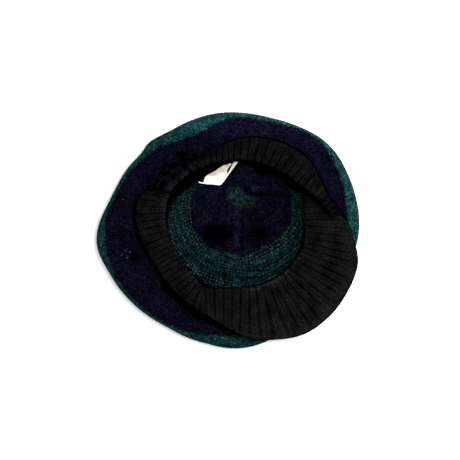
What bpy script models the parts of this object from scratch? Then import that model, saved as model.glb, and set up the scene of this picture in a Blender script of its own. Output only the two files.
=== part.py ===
"""A knitted tam with a ribbed headband and a stiff peak, lying upside down on its crown.

It lies on its flat top with the opening up. +X is the wearer's right as it lies, +Z is up, and the
origin is under the middle of the hat, on the surface that it lies on. The peak points to +X -Y.

The crown is one knitted wall: a flat top, a round fold at the rim and an underside that comes back in
to the headband. The headband is a doubled rib that is turned in towards the opening at the back and
both sides. At the front it is turned out, and its rib runs on as the cover of the peak.

Tables are in millimetres and degrees. Angles run counter-clockwise from +X, seen from above.
"""

import math
from typing import NamedTuple

import bpy

MM = 0.001

# The crown's knitted wall.
CROWN_WALL = 2.5
CROWN_SECTORS = 96
FOLD_STEPS = 6
UNDERSIDE_STEPS = 4
FLAT_CENTRE_SHARE = 0.45       # radius of the first ring on the flat top, as a share of the flat
GATHERS = 32                   # soft pleats where the underside is drawn in to the headband
GATHER_DEPTH = 0.7
PUCKER_DEPTH = 1.3             # deeper pleats at the back left
PUCKER_ANGLE = 135.0
PUCKER_SPREAD = 30.0
DENT_CENTRE = (-102.0, -30.0)  # a soft dent in the underside at the left
DENT_DEPTH = 2.0
DENT_SPREAD = 11.0

# The ribbed pieces.
SEAM_GAP = 0.6
BAND_THICKNESS = 4.0
BAND_RIBS = 52
BAND_BULGE = 3.0
PEAK_THICKNESS = 4.5
PEAK_RIBS = 28
PEAK_BULGE = 0.3
GROOVE_DEPTH = 0.9
RIB_STATIONS = (0.0, 0.3, 0.7)  # where one rib is cut into sections: its groove, then its flat top
END_TAPER_RIBS = 1.5
END_THICKNESS = 0.6             # share of the thickness that is left at a ribbon's two ends

# The label.
LABEL_THICKNESS = 0.8
LABEL_TILT = 18.0
LABEL_CORNER = (-26.8, 48.0)
LABEL_CLEARANCE = 0.45
LABEL_OUTLINE = [(0, 2), (18, 0), (23, 3), (38, 24), (31, 23), (17, 17), (1.5, 7)]


class CrownSection(NamedTuple):
    """One cut through the crown, at an angle round from +X."""
    angle: float
    rim_radius: float    # the widest point of the fold
    rim_height: float    # the top of the fold
    seam_radius: float   # where the underside meets the headband
    seam_height: float


class BandSection(NamedTuple):
    """One cut through the headband, along a rib from its free edge out to the seam."""
    rib: float
    edge_angle: float
    edge_radius: float
    edge_height: float
    seam_angle: float


class PeakSection(NamedTuple):
    """One cut through the peak, along a rib from the opening out to the peak's edge."""
    rib: float
    inner_x: float
    inner_y: float
    inner_height: float
    outer_x: float
    outer_y: float
    outer_height: float


CROWN_SECTIONS = [
    CrownSection(0, 140.0, 12.0, 113.0, 12.5),
    CrownSection(3.75, 140.5, 13.5, 125.5, 15.5),
    CrownSection(12, 140.5, 17.0, 118.0, 20.0),
    CrownSection(22, 140.5, 21.0, 111.5, 23.0),
    CrownSection(40, 140.5, 24.0, 113.0, 27.0),
    CrownSection(60, 132.0, 25.0, 107.0, 28.0),
    CrownSection(80, 127.0, 25.0, 98.0, 28.0),
    CrownSection(95, 125.5, 25.0, 89.0, 27.0),
    CrownSection(110, 124.0, 24.0, 86.0, 26.0),
    CrownSection(132, 126.5, 22.0, 92.0, 24.0),
    CrownSection(150, 126.5, 20.0, 95.0, 23.0),
    CrownSection(165, 130.0, 19.0, 101.0, 23.0),
    CrownSection(183, 140.3, 18.0, 96.0, 22.0),
    CrownSection(200, 135.0, 17.0, 89.0, 20.0),
    CrownSection(220, 128.0, 16.0, 87.0, 18.0),
    CrownSection(240, 122.5, 14.0, 91.0, 16.0),
    CrownSection(258.75, 123.5, 12.3, 94.5, 14.0),
    CrownSection(267, 125.5, 11.0, 78.0, 10.5),
    CrownSection(280, 126.5, 9.5, 66.0, 8.0),
    CrownSection(300, 125.5, 9.0, 67.0, 7.5),
    CrownSection(320, 128.0, 9.0, 73.0, 7.5),
    CrownSection(340, 133.0, 9.5, 81.0, 8.0),
    CrownSection(352, 138.0, 10.5, 93.0, 9.0),
]

BAND_SECTIONS = [
    BandSection(0.0, 6.1, 109.0, 22.0, 7.5),
    BandSection(2.0, 9.6, 107.5, 23.5, 12.0),
    BandSection(4.5, 17.3, 101.0, 25.5, 20.4),
    BandSection(8.0, 29.2, 90.0, 28.5, 33.0),
    BandSection(13.0, 52.4, 80.0, 33.0, 54.0),
    BandSection(18.0, 80.0, 73.0, 36.0, 81.8),
    BandSection(21.5, 97.0, 70.5, 36.0, 96.0),
    BandSection(27.0, 124.0, 70.0, 35.0, 126.0),
    BandSection(31.0, 149.0, 71.0, 33.0, 152.0),
    BandSection(34.5, 163.8, 68.0, 31.5, 168.8),
    BandSection(40.0, 192.0, 62.0, 28.5, 195.8),
    BandSection(44.0, 211.5, 58.5, 25.5, 210.6),
    BandSection(48.0, 232.0, 59.5, 21.0, 227.0),
    BandSection(50.5, 243.5, 63.5, 16.0, 241.0),
    BandSection(52.0, 248.7, 67.0, 13.5, 256.5),
]

PEAK_SECTIONS = [
    PeakSection(0, -23.0, -61.0, 12.5, -19.0, -91.5, 16.3),
    PeakSection(2, -5.0, -63.0, 12.0, -4.5, -101.5, 15.6),
    PeakSection(4, 14.0, -62.0, 11.5, 12.0, -110.0, 15.0),
    PeakSection(6, 30.0, -60.5, 11.0, 34.0, -115.5, 13.8),
    PeakSection(9, 47.5, -53.5, 10.8, 77.0, -109.5, 13.0),
    PeakSection(12, 61.0, -44.0, 10.8, 107.0, -89.0, 12.8),
    PeakSection(15, 71.0, -32.0, 10.8, 126.0, -62.0, 13.2),
    PeakSection(18, 79.5, -19.0, 11.3, 135.0, -36.5, 14.5),
    PeakSection(20, 81.5, -8.5, 11.8, 134.5, -18.0, 15.7),
    PeakSection(22, 82.0, 3.5, 12.5, 130.0, 0.0, 17.2),
    PeakSection(23, 82.0, 10.0, 13.0, 124.0, 9.0, 17.4),
    PeakSection(24, 82.0, 16.5, 13.3, 109.0, 14.5, 16.6),
    PeakSection(25, 81.5, 23.0, 13.6, 104.0, 24.0, 16.4),
    PeakSection(28, 81.0, 42.0, 14.0, 91.0, 46.0, 16.0),
]

# One cut across a ribbed piece: how far across it each point lies, and how far towards its face.
RIBBON_PROFILE = [
    (0.00, 0.0),
    (0.05, 0.8),
    (0.30, 1.0),
    (0.65, 1.0),
    (0.95, 0.8),
    (1.00, 0.0),
    (0.95, -0.8),
    (0.50, -1.0),
    (0.05, -0.8),
]


def read_table(table, column, key, period=None):
    """The smooth value of a column between a table's rows, which may close on themselves."""
    keys = [row[0] for row in table]
    values = [getattr(row, column) for row in table]
    if period:
        key = key % period
        keys = [keys[-1] - period] + keys + [keys[0] + period, keys[1] + period]
        values = [values[-1]] + values + [values[0], values[1]]
    last = len(keys) - 2
    left = max(index for index in range(last + 1) if keys[index] <= key or index == 0)

    def slope(index):
        before = max(index - 1, 0)
        after = min(index + 1, len(keys) - 1)
        return (values[after] - values[before]) / (keys[after] - keys[before])

    span = keys[left + 1] - keys[left]
    t = (key - keys[left]) / span
    rise = t * t * (3 - 2 * t)
    leave = t * (1 - t) ** 2
    arrive = -t * t * (1 - t)
    along = values[left] * (1 - rise) + values[left + 1] * rise
    return along + span * (slope(left) * leave + slope(left + 1) * arrive)


def crown_value(column, angle):
    return read_table(CROWN_SECTIONS, column, angle, period=360)


def from_polar(angle, radius, height):
    turn = math.radians(angle)
    return (radius * math.cos(turn), radius * math.sin(turn), height)


def bump(distance, spread):
    return math.exp(-0.5 * (distance / spread) ** 2)


def crown_profile(angle):
    """The crown's outer face at one angle, from the middle of the flat top round to the seam."""
    rim_radius = crown_value("rim_radius", angle)
    rim_height = crown_value("rim_height", angle)
    seam_radius = crown_value("seam_radius", angle)
    seam_height = crown_value("seam_height", angle)
    roll = 2.0 + 0.5 * rim_height
    flat_radius = rim_radius - roll

    profile = [(FLAT_CENTRE_SHARE * flat_radius, 0.0)]
    for step in range(FOLD_STEPS + 1):
        turn = math.pi * (step / FOLD_STEPS - 0.5)
        radius = flat_radius + roll * math.cos(turn)
        height = 0.5 * rim_height * (1 + math.sin(turn))
        profile.append((radius, height))
    for step in range(1, UNDERSIDE_STEPS + 1):
        share = step / UNDERSIDE_STEPS
        radius = flat_radius + share * (seam_radius - flat_radius)
        height = rim_height + share * share * (3 - 2 * share) * (seam_height - rim_height)
        profile.append((radius, height + gather(angle) * share ** 2))
    return profile


def gather(angle):
    """How far the pleats at the seam lift the underside at this angle."""
    apart = (angle - PUCKER_ANGLE + 180) % 360 - 180
    depth = GATHER_DEPTH + PUCKER_DEPTH * bump(apart, PUCKER_SPREAD)
    return 0.5 * depth * math.cos(math.radians(GATHERS * angle))


def dented(point):
    """A point of the underside, pressed down where the soft dent is."""
    x, y, z = point
    away = math.hypot(x - DENT_CENTRE[0], y - DENT_CENTRE[1])
    return (x, y, z - DENT_DEPTH * bump(away, DENT_SPREAD))


def crown_rings():
    angles = [360 * sector / CROWN_SECTORS for sector in range(CROWN_SECTORS)]
    profiles = [crown_profile(angle) for angle in angles]
    rings = []
    for place in range(len(profiles[0])):
        ring = [from_polar(angle, *profile[place]) for angle, profile in zip(angles, profiles)]
        if place > FOLD_STEPS:
            ring = [dented(point) for point in ring]
        rings.append(ring)
    return rings


def loft(rings):
    """Points and faces of a skin drawn through rings that all have the same number of points."""
    count = len(rings[0])
    points = [point for ring in rings for point in ring]
    faces = []
    for row in range(len(rings) - 1):
        for place in range(count):
            after = (place + 1) % count
            here = row * count
            there = here + count
            faces.append((here + place, here + after, there + after, there + place))
    return points, faces


def ribbon_rings(inner_end, outer_end, ribs, thickness, bulge):
    """Closed cuts through a ribbed strip whose ribs run from its inner to its outer edge."""
    stations = [rib + share for rib in range(ribs) for share in RIB_STATIONS] + [float(ribs)]
    rings = []
    for station in stations:
        start = inner_end(station)
        end = outer_end(station)
        groove = GROOVE_DEPTH if station == int(station) else 0.0
        from_end = min(station, ribs - station) / END_TAPER_RIBS
        taper = END_THICKNESS + (1 - END_THICKNESS) * min(from_end, 1.0)
        ring = []
        for across, side in RIBBON_PROFILE:
            x, y, z = [a + across * (b - a) for a, b in zip(start, end)]
            lift = bulge * taper * 4 * across * (1 - across)
            half = taper * (0.5 * thickness - groove * (1 - across ** 4))
            ring.append((x, y, z + lift + side * half))
        rings.append(ring)
    return rings


def band_edge(rib):
    angle = read_table(BAND_SECTIONS, "edge_angle", rib)
    radius = read_table(BAND_SECTIONS, "edge_radius", rib)
    return from_polar(angle, radius, read_table(BAND_SECTIONS, "edge_height", rib))


def band_seam(rib):
    angle = read_table(BAND_SECTIONS, "seam_angle", rib)
    radius = crown_value("seam_radius", angle) - SEAM_GAP
    return from_polar(angle, radius, crown_value("seam_height", angle) - 0.5 * CROWN_WALL)


def peak_inner(rib):
    return [read_table(PEAK_SECTIONS, column, rib) for column in ("inner_x", "inner_y", "inner_height")]


def peak_outer(rib):
    return [read_table(PEAK_SECTIONS, column, rib) for column in ("outer_x", "outer_y", "outer_height")]


def knit_material(name, colour, roughness):
    material = bpy.data.materials.new(name)
    material.use_nodes = True
    shader = material.node_tree.nodes["Principled BSDF"]
    shader.inputs["Base Color"].default_value = (*colour, 1.0)
    shader.inputs["Roughness"].default_value = roughness
    shader.inputs["Metallic"].default_value = 0.0
    return material


def new_object(name, points, faces, material, collection):
    """A named object from points in millimetres."""
    mesh = bpy.data.meshes.new(name)
    mesh.from_pydata([[MM * value for value in point] for point in points], [], faces)
    mesh.materials.append(material)
    mesh.shade_smooth()
    mesh.set_sharp_from_angle(angle=math.radians(40))
    built = bpy.data.objects.new(name, mesh)
    collection.objects.link(built)
    return built


def add_wall(built, thickness):
    """Give an open skin its thickness, inwards from the side that its faces point to."""
    wall = built.modifiers.new("wall", "SOLIDIFY")
    wall.thickness = thickness * MM
    wall.offset = -1.0
    wall.use_even_offset = True


def build_crown(collection):
    rings = crown_rings()
    points, faces = loft(rings)
    flat_middle = tuple(reversed(range(CROWN_SECTORS)))
    material = knit_material("navy_and_green_knit", (0.006, 0.010, 0.022), 0.95)
    crown = new_object("crown", points, faces + [flat_middle], material, collection)
    add_wall(crown, CROWN_WALL)


def build_ribbon(name, rings, material, collection):
    points, faces = loft(rings)
    count = len(RIBBON_PROFILE)
    first_end = tuple(reversed(range(count)))
    last_end = tuple(len(points) - count + place for place in range(count))
    new_object(name, points, faces + [first_end, last_end], material, collection)


def build_band(material, collection):
    rings = ribbon_rings(band_edge, band_seam, BAND_RIBS, BAND_THICKNESS, BAND_BULGE)
    build_ribbon("rib_band", rings, material, collection)


def build_peak(material, collection):
    rings = ribbon_rings(peak_inner, peak_outer, PEAK_RIBS, PEAK_THICKNESS, PEAK_BULGE)
    build_ribbon("peak", rings, material, collection)


def build_label(collection):
    points = [(x, y, 0.0) for x, y in LABEL_OUTLINE]
    face = tuple(range(len(points)))
    material = knit_material("white_label_tape", (0.75, 0.72, 0.66), 0.7)
    label = new_object("label", points, [face], material, collection)
    label.location = (LABEL_CORNER[0] * MM, LABEL_CORNER[1] * MM, 0.0)
    label.location.z = (CROWN_WALL + LABEL_CLEARANCE + LABEL_THICKNESS) * MM
    label.rotation_euler.x = math.radians(LABEL_TILT)
    add_wall(label, LABEL_THICKNESS)


def build_tam():
    for old in list(bpy.data.objects):
        bpy.data.objects.remove(old)
    collection = bpy.data.collections.new("peaked_knitted_tam")
    bpy.context.scene.collection.children.link(collection)
    rib_knit = knit_material("black_rib_knit", (0.0055, 0.0055, 0.0055), 0.95)
    build_crown(collection)
    build_band(rib_knit, collection)
    build_peak(rib_knit, collection)
    build_label(collection)


build_tam()
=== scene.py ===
# %% [markdown]
# # A peaked knitted tam
# The hat lies upside down on its crown, so this scene looks down into its opening. It is all knitted
# wool: a brushed crown in navy and green, a black ribbed headband that is turned in at the back and the
# sides, and a stiff peak with a ribbed cover. A small white label is sewn inside the back.
#
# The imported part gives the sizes. Each soft piece is modelled again here as a finer piece in the same
# place, which then stands for the plain solid.

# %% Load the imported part
import math
import random
from typing import NamedTuple

import bmesh
import bpy
from mathutils import Matrix, Vector, noise
from mathutils.geometry import intersect_point_line


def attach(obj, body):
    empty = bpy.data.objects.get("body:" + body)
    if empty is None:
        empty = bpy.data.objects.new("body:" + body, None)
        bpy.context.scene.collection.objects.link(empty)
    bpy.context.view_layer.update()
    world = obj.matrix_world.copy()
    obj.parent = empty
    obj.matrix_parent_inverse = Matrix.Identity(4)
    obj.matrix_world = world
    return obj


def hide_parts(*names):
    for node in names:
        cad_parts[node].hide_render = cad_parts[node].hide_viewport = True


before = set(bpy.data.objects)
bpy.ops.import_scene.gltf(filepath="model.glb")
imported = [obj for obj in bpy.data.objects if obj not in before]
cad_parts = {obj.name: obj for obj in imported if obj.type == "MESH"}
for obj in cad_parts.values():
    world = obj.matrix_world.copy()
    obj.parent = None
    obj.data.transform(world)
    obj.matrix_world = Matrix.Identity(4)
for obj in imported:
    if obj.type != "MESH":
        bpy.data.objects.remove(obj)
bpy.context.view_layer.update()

MM = 0.001

# %% [markdown]
# ## Sections
# A worn hat is soft, and no two cuts through it are alike. It could be sculpted by hand, but then its
# sizes would be hidden in the mesh. Here a few cuts steer each form, in tables of named sizes, and
# `read_table` gives smooth rows between the cuts, as finely as the knit needs. Sizes are in millimetres,
# and angles run counter-clockwise from +X, seen from above.


# %% Smooth rows between the rows of a table
def rows(kind, *values):
    """A table of named rows."""
    return [kind(*row) for row in values]


def read_table(table, key, period=None):
    """The smooth row at a key between a table's rows, which may close on themselves."""
    cuts = list(table)
    keys = [cut[0] for cut in cuts]
    if period:
        key = key % period
        keys = [keys[-1] - period] + keys + [keys[0] + period, keys[1] + period]
        cuts = [cuts[-1]] + cuts + cuts[:2]
    left = max(index for index in range(len(keys) - 1) if keys[index] <= key or index == 0)
    span = keys[left + 1] - keys[left]
    t = (key - keys[left]) / span
    rise = t * t * (3 - 2 * t)
    leave = t * (1 - t) ** 2
    arrive = -t * t * (1 - t)

    def slope(index, column):
        before = max(index - 1, 0)
        after = min(index + 1, len(keys) - 1)
        return (cuts[after][column] - cuts[before][column]) / (keys[after] - keys[before])

    def smooth(column):
        along = cuts[left][column] * (1 - rise) + cuts[left + 1][column] * rise
        return along + span * (slope(left, column) * leave + slope(left + 1, column) * arrive)

    return type(table[0])(key, *(smooth(column) for column in range(1, len(table[0]))))


# %% Soft steps and hills
def bump(distance, spread):
    """A soft hill: 1 at its middle, and nearly 0 at three spreads away."""
    return math.exp(-0.5 * (distance / spread) ** 2)


def swell(share):
    """1 halfway along, and 0 at both ends."""
    return 4 * share * (1 - share)


def ease(value, low, high):
    """0 below low, 1 above high, and a smooth step between."""
    t = min(max((value - low) / (high - low), 0.0), 1.0)
    return t * t * (3 - 2 * t)


def window(value, start, full, fading, end):
    """1 from full to fading, 0 before start and after end, and smooth steps between."""
    return ease(value, start, full) * (1 - ease(value, fading, end))


def wavy(x, y, size, layer):
    """Smooth random hills of a size in millimetres, from -1 to 1."""
    return noise.noise(Vector((x / size, y / size, layer)))


def turned(angle, middle):
    """The degrees from one direction to another, from -180 to 180."""
    return (angle - middle + 180) % 360 - 180


def from_polar(angle, radius, height):
    turn = math.radians(angle)
    return Vector((radius * math.cos(turn), radius * math.sin(turn), height))


# %% The crown's cuts
class CrownSection(NamedTuple):
    """One cut through the crown, at an angle round from +X."""
    angle: float
    rim_radius: float     # the widest point of the fold
    rim_height: float     # the top of the fold
    seam_radius: float    # where the underside meets the headband
    seam_height: float


CROWN_SECTIONS = rows(
    CrownSection,
    (0, 140.0, 12.0, 113.0, 12.5),
    (3.75, 140.5, 13.5, 125.5, 15.5),
    (12, 140.5, 17.0, 118.0, 20.0),
    (22, 140.5, 21.0, 111.5, 23.0),
    (40, 140.5, 24.0, 113.0, 27.0),
    (60, 132.0, 25.0, 107.0, 28.0),
    (80, 127.0, 25.0, 98.0, 28.0),
    (95, 125.5, 25.0, 89.0, 27.0),
    (110, 124.0, 24.0, 86.0, 26.0),
    (132, 126.5, 22.0, 92.0, 24.0),
    (150, 126.5, 20.0, 95.0, 23.0),
    (165, 130.0, 19.0, 101.0, 23.0),
    (183, 140.3, 18.0, 96.0, 22.0),
    (200, 135.0, 17.0, 89.0, 20.0),
    (220, 128.0, 16.0, 87.0, 18.0),
    (240, 122.5, 14.0, 91.0, 16.0),
    (258.75, 123.5, 12.3, 94.5, 14.0),
    (267, 125.5, 11.0, 78.0, 10.5),
    (280, 126.5, 9.5, 66.0, 8.0),
    (300, 125.5, 9.0, 67.0, 7.5),
    (320, 128.0, 9.0, 73.0, 7.5),
    (340, 133.0, 9.5, 81.0, 8.0),
    (352, 138.0, 10.5, 93.0, 9.0),
)


class Trim(NamedTuple):
    """A small change of a size round one angle."""
    angle: float
    spread: float
    change: float


# The soft rim isn't a smooth oval: it has a blunt corner at the back left and a point at the left.
RIM_TRIMS = rows(
    Trim,
    (20, 24, 1.1), (70, 7, -1.0), (121, 6, -2.2), (132.5, 2.5, 0.9), (139, 4.5, -2.6), (190, 5, 1.2),
    (248, 6, 0.7), (278, 8, 1.0),
)
# The crown's edge tucks under the headband, most of all at the front left.
TUCK_TRIMS = rows(Trim, (225, 22, -3.4), (248, 10, -1.6), (60, 14, -1.2), (80, 14, -1.2))


class WidthAt(NamedTuple):
    """How wide a strip is at one angle."""
    angle: float
    width: float


# How far the rim's green reaches in from the outline, seen from above.
RIM_GREENS = rows(
    WidthAt,
    (0, 12.5), (8, 13.5), (20, 11.0), (34, 7.5), (50, 3.2), (64, 5.2), (80, 6.4), (90, 8.6), (100, 14.2),
    (110, 17.6), (120, 14.6), (132, 10.6), (138, 7.0), (150, 4.8), (164, 4.4), (176, 6.0), (184, 8.8),
    (192, 7.6), (204, 4.2), (224, 3.4), (240, 3.8), (256, 8.0), (266, 12.0), (276, 12.5), (340, 11.0),
)


class InnerGreen(NamedTuple):
    """Where the green shows inside the crown, at one angle round the star."""
    angle: float
    star_edge: float      # where the star's green ends, from its middle
    ring_start: float     # where the ring's green starts
    ring_width: float


INNER_GREENS = rows(
    InnerGreen,
    (0, 15.5, 55.0, 46.0), (15, 12.0, 53.5, 45.0), (30, 9.5, 53.0, 43.0), (60, 9.0, 54.0, 42.5),
    (90, 10.0, 55.0, 42.5), (120, 14.5, 52.0, 42.5), (145, 17.5, 48.0, 42.5), (158, 17.0, 46.5, 42.5),
    (168, 16.0, 48.0, 42.5), (178, 15.0, 51.5, 42.5), (188, 13.5, 53.0, 42.5), (196, 12.5, 52.5, 41.0),
    (210, 10.5, 57.5, 38.0), (225, 10.0, 59.5, 38.0), (233, 9.7, 60.5, 38.3), (240, 9.5, 61.5, 38.2),
    (248, 9.7, 61.0, 38.4), (256, 10.0, 61.0, 39.5), (265, 10.5, 62.5, 38.5), (273, 11.0, 61.5, 43.0),
    (284, 11.5, 58.5, 52.0), (300, 13.0, 57.0, 52.0), (316, 15.5, 58.5, 52.0), (326, 16.5, 59.5, 52.0),
    (336, 17.5, 61.0, 49.0), (345, 17.5, 57.5, 48.0),
)


def trimmed(trims, angle):
    """The sum of the small changes at an angle."""
    return sum(trim.change * bump(turned(angle, trim.angle), trim.spread) for trim in trims)


print("crown:", len(CROWN_SECTIONS), "cuts, from", CROWN_SECTIONS[0].rim_radius, "mm out at the right")


# %% The headband's and the peak's cuts
class BandSection(NamedTuple):
    """One cut through the headband, along a rib from its free edge out to the seam."""
    rib: float
    edge_angle: float
    edge_radius: float
    edge_height: float
    seam_angle: float

    def edge(self):
        return from_polar(self.edge_angle, self.edge_radius, self.edge_height)


BAND_SECTIONS = rows(
    BandSection,
    (0.0, 6.1, 109.0, 22.0, 7.5),
    (2.0, 9.6, 107.5, 23.5, 12.0),
    (4.5, 17.3, 101.0, 25.5, 20.4),
    (8.0, 29.2, 90.0, 28.5, 33.0),
    (13.0, 52.4, 80.0, 33.0, 54.0),
    (18.0, 80.0, 73.0, 36.0, 81.8),
    (21.5, 97.0, 70.5, 36.0, 96.0),
    (27.0, 124.0, 70.0, 35.0, 126.0),
    (31.0, 149.0, 71.0, 33.0, 152.0),
    (34.5, 163.8, 68.0, 31.5, 168.8),
    (40.0, 192.0, 62.0, 28.5, 195.8),
    (44.0, 211.5, 58.5, 25.5, 210.6),
    (48.0, 232.0, 60.8, 21.0, 227.0),
    (50.5, 243.5, 64.8, 16.0, 241.0),
    (52.0, 248.7, 67.0, 13.5, 256.5),
)


class PeakSection(NamedTuple):
    """One cut through the peak, along a rib from the opening out to the peak's edge."""
    rib: float
    inner_x: float
    inner_y: float
    inner_height: float
    outer_x: float
    outer_y: float
    outer_height: float

    def inner(self):
        return Vector((self.inner_x, self.inner_y, self.inner_height))

    def outer(self):
        return Vector((self.outer_x, self.outer_y, self.outer_height))


PEAK_SECTIONS = rows(
    PeakSection,
    (0, -25.0, -62.2, 13.4, -22.8, -91.8, 13.2),
    (2, -5.0, -63.0, 12.0, -4.5, -103.0, 14.6),
    (4, 14.0, -62.0, 11.5, 12.0, -112.0, 15.0),
    (6, 30.0, -60.5, 11.0, 35.0, -118.0, 13.8),
    (9, 47.5, -53.5, 10.8, 79.0, -112.5, 13.0),
    (12, 61.0, -44.0, 10.8, 109.5, -91.5, 12.8),
    (15, 71.0, -32.0, 10.8, 129.0, -64.0, 13.2),
    (18, 79.5, -19.0, 11.3, 138.5, -37.5, 14.5),
    (20, 81.5, -8.5, 11.8, 136.5, -18.5, 15.7),
    (22, 82.0, 3.5, 12.5, 130.5, 0.5, 17.0),
    (23, 82.0, 10.0, 13.0, 125.0, 10.5, 17.0),
    (24, 82.0, 16.5, 13.3, 116.0, 17.5, 16.4),
    (25, 81.5, 23.0, 13.6, 104.0, 24.0, 16.0),
    (28, 81.0, 42.0, 14.0, 91.0, 46.0, 15.6),
)
print("headband:", len(BAND_SECTIONS), "cuts; peak:", len(PEAK_SECTIONS), "cuts")

# %% [markdown]
# ## Knitting as a grid
# A knitted piece is a grid of stitches: columns one way, called wales, and rows the other, called
# courses. Each stitch could be a loop of yarn of its own, but the hat has thousands of them, and brushing
# has felted most of them together. So each piece starts as a flat grid, made by one operator, which is
# then carried to its place point by point. Its UV map keeps where each stitch is, so the stripes and the
# stitches follow the fabric round every fold.


# %% A grid that is carried to its place
def in_scene(name, data):
    """A new object in the scene."""
    thing = bpy.data.objects.new(name, data)
    bpy.context.scene.collection.objects.link(thing)
    return thing


def mesh_from(name, bm):
    """A new mesh with what bm holds."""
    mesh = bpy.data.meshes.new(name)
    bm.to_mesh(mesh)
    bm.free()
    return mesh


def piece_from(name, bm):
    return in_scene(name, mesh_from(name, bm))


def knit_grid(name, across, along, place):
    """A piece from a grid of across by along squares. place(column, row) gives a point in
    millimetres, the UV of its stitch, and by name the numbers that the material reads there."""
    placed = {(column, row): place(column, row) for column in range(across + 1) for row in range(along + 1)}
    bm = bmesh.new()
    uv_layer = bm.loops.layers.uv.new("stitch")
    for key in placed[0, 0][2]:
        bm.verts.layers.float.new(key)
    bmesh.ops.create_grid(bm, x_segments=across, y_segments=along, size=0.5)
    for vert in bm.verts:
        column = round((vert.co.x + 0.5) * across)
        row = round((vert.co.y + 0.5) * along)
        point, uv, numbers = placed[column, row]
        vert.co = Vector(point) * MM
        for loop in vert.link_loops:
            loop[uv_layer].uv = uv
        for key, value in numbers.items():
            vert[bm.verts.layers.float[key]] = value
    bmesh.ops.remove_doubles(bm, verts=bm.verts, dist=0.01 * MM)
    piece = piece_from(name, bm)
    piece.data.shade_smooth()
    return piece


# %% [markdown]
# ## The crown
# A tam's crown is knitted round from a star at its middle: it grows to the rim, turns over a soft fold
# and is drawn in again to the headband. A spun profile could make one, but this crown lies unevenly: its
# outline has blunt corners, and its flat top has a ridge, a crease, hills and hollows. So each wale gets
# a path of its own, from the star over the flat top, round the fold and back in along the underside. A
# Solidify modifier then gives the fabric its thickness.

# %% Named sizes of the crown
CROWN_WALL = 2.5
WALES_CUT = 400
FLAT_ROWS = 56
FOLD_ROWS = 14
UNDER_ROWS = 44
CROWN_ROWS = FLAT_ROWS + FOLD_ROWS + UNDER_ROWS
STAR_CENTRE = Vector((12.8, 34.0, 0.0))
FLAT_LIFT = 1.8
RIDGE_HEIGHT = 2.2
RIDGE_SPAN = (-34, -20, 18, 30)     # along y, where it rises and where it fades
CREASE_HEIGHT = 2.4
CREASE_SPAN = (16, 26, 50, 62)      # along x
GATHERS = 32
GATHER_DEPTH = 0.7
PUCKER_DEPTH = 1.3
PUCKER_ANGLE = 127.0
PUCKER_SPREAD = 24.0
LEFT_HOLLOW = (-102, -30)
LEFT_HOLLOW_DEPTH = 2.0
LEFT_HOLLOW_SPREAD = 11

# Fabric distances from the star, as the knitter's chart counts them.
STAR_EDGE = 12.0
RING_START = 56.5
CHECKS_END = 66.0
LAST_CHECKS = 86.4
RING_END = 99.0
OUTSIDE_START = 112.0
RIM_GREEN_START = 128.0
RIM_GREEN_END = 166.0
SEAM_DISTANCE = 215.0


# %% Hills and hollows of the flat top
class Spot(NamedTuple):
    """A soft oval spot, seen from above, and what it changes there: a height, or painted light and shade."""
    x: float
    y: float
    half_x: float
    half_y: float
    change: float


HILLS = rows(Spot, (21, 66, 8, 7, 4.5), (50, 56, 11, 6, 5.0), (-15, -4, 18, 10, -1.6), (30, -7, 16, 11, -1.0))


def flat_top_lift(x, y):
    """How far the flat top lifts off the surface that the hat lies on."""
    hills = 0.0
    for hill in HILLS:
        hills += hill.change * bump(x - hill.x, hill.half_x) * bump(y - hill.y, hill.half_y)
    ridge = RIDGE_HEIGHT * bump(x - 11.8, 2.3) * window(y, *RIDGE_SPAN)
    crease = CREASE_HEIGHT * ease(y, 38.6, 40.0) * bump(y - 40.0, 9.0) * window(x, *CREASE_SPAN)
    ripple = 1.0 * wavy(x, y, 23, 3.1) + 0.5 * wavy(x, y, 8, 8.4)
    return max(FLAT_LIFT + hills + ridge + crease + ripple, 0.0)


# %% [markdown]
# ## Light and shade inside the hat
# The headband stands well above the flat top and keeps the light off it. Lamps alone could draw that
# shadow, but on wool as dark as this it hardly shows, and no more do the hollows. So each point of the
# fabric also carries a number for how open it is to the light, and the material paints it into the
# wool's colour: painted shadow and shade where it is low, painted highlights where it is above 1.

# %% The opening, and the painted shadow inside it
# How far the headband's painted shadow reaches in from its free edge.
SHADE_WIDTHS = rows(
    WidthAt,
    (0, 2.5), (12, 4.0), (26, 8.0), (34, 12.6), (49, 7.0), (61, 14.5), (70, 7.0), (78, 2.0), (92, 3.0),
    (110, 10.0), (127, 15.0), (140, 11.0), (152, 8.5), (162, 6.0), (174, 3.5), (190, 2.5), (228, 2.0),
    (242, 5.0), (258, 3.0), (300, 2.0), (345, 2.5),
)
CAMERA_DISTANCE = 1.3


def seen_from_above(x, y, height):
    """The angle and radius at which the camera sees a raised point against the floor."""
    reach = 1 / (1 - height * MM / CAMERA_DISTANCE)
    return math.degrees(math.atan2(y, x)) % 360, math.hypot(x, y) * reach


def opening_outline():
    """The opening's edge as the camera sees it: (angle, radius) in order of the angle."""
    edges = [cut.edge() for cut in BAND_SECTIONS]
    edges += [cut.inner() for cut in PEAK_SECTIONS if cut.inner_y < 4]
    return sorted(seen_from_above(*edge) for edge in edges)


OPENING = opening_outline()


def opening_radius(angle):
    first_angle, first_radius = OPENING[0]
    closed = OPENING + [(first_angle + 360, first_radius)]
    for (angle_a, radius_a), (angle_b, radius_b) in zip(closed, closed[1:]):
        if angle_a <= angle <= angle_b:
            return radius_a + (radius_b - radius_a) * (angle - angle_a) / (angle_b - angle_a)
    return first_radius
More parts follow.
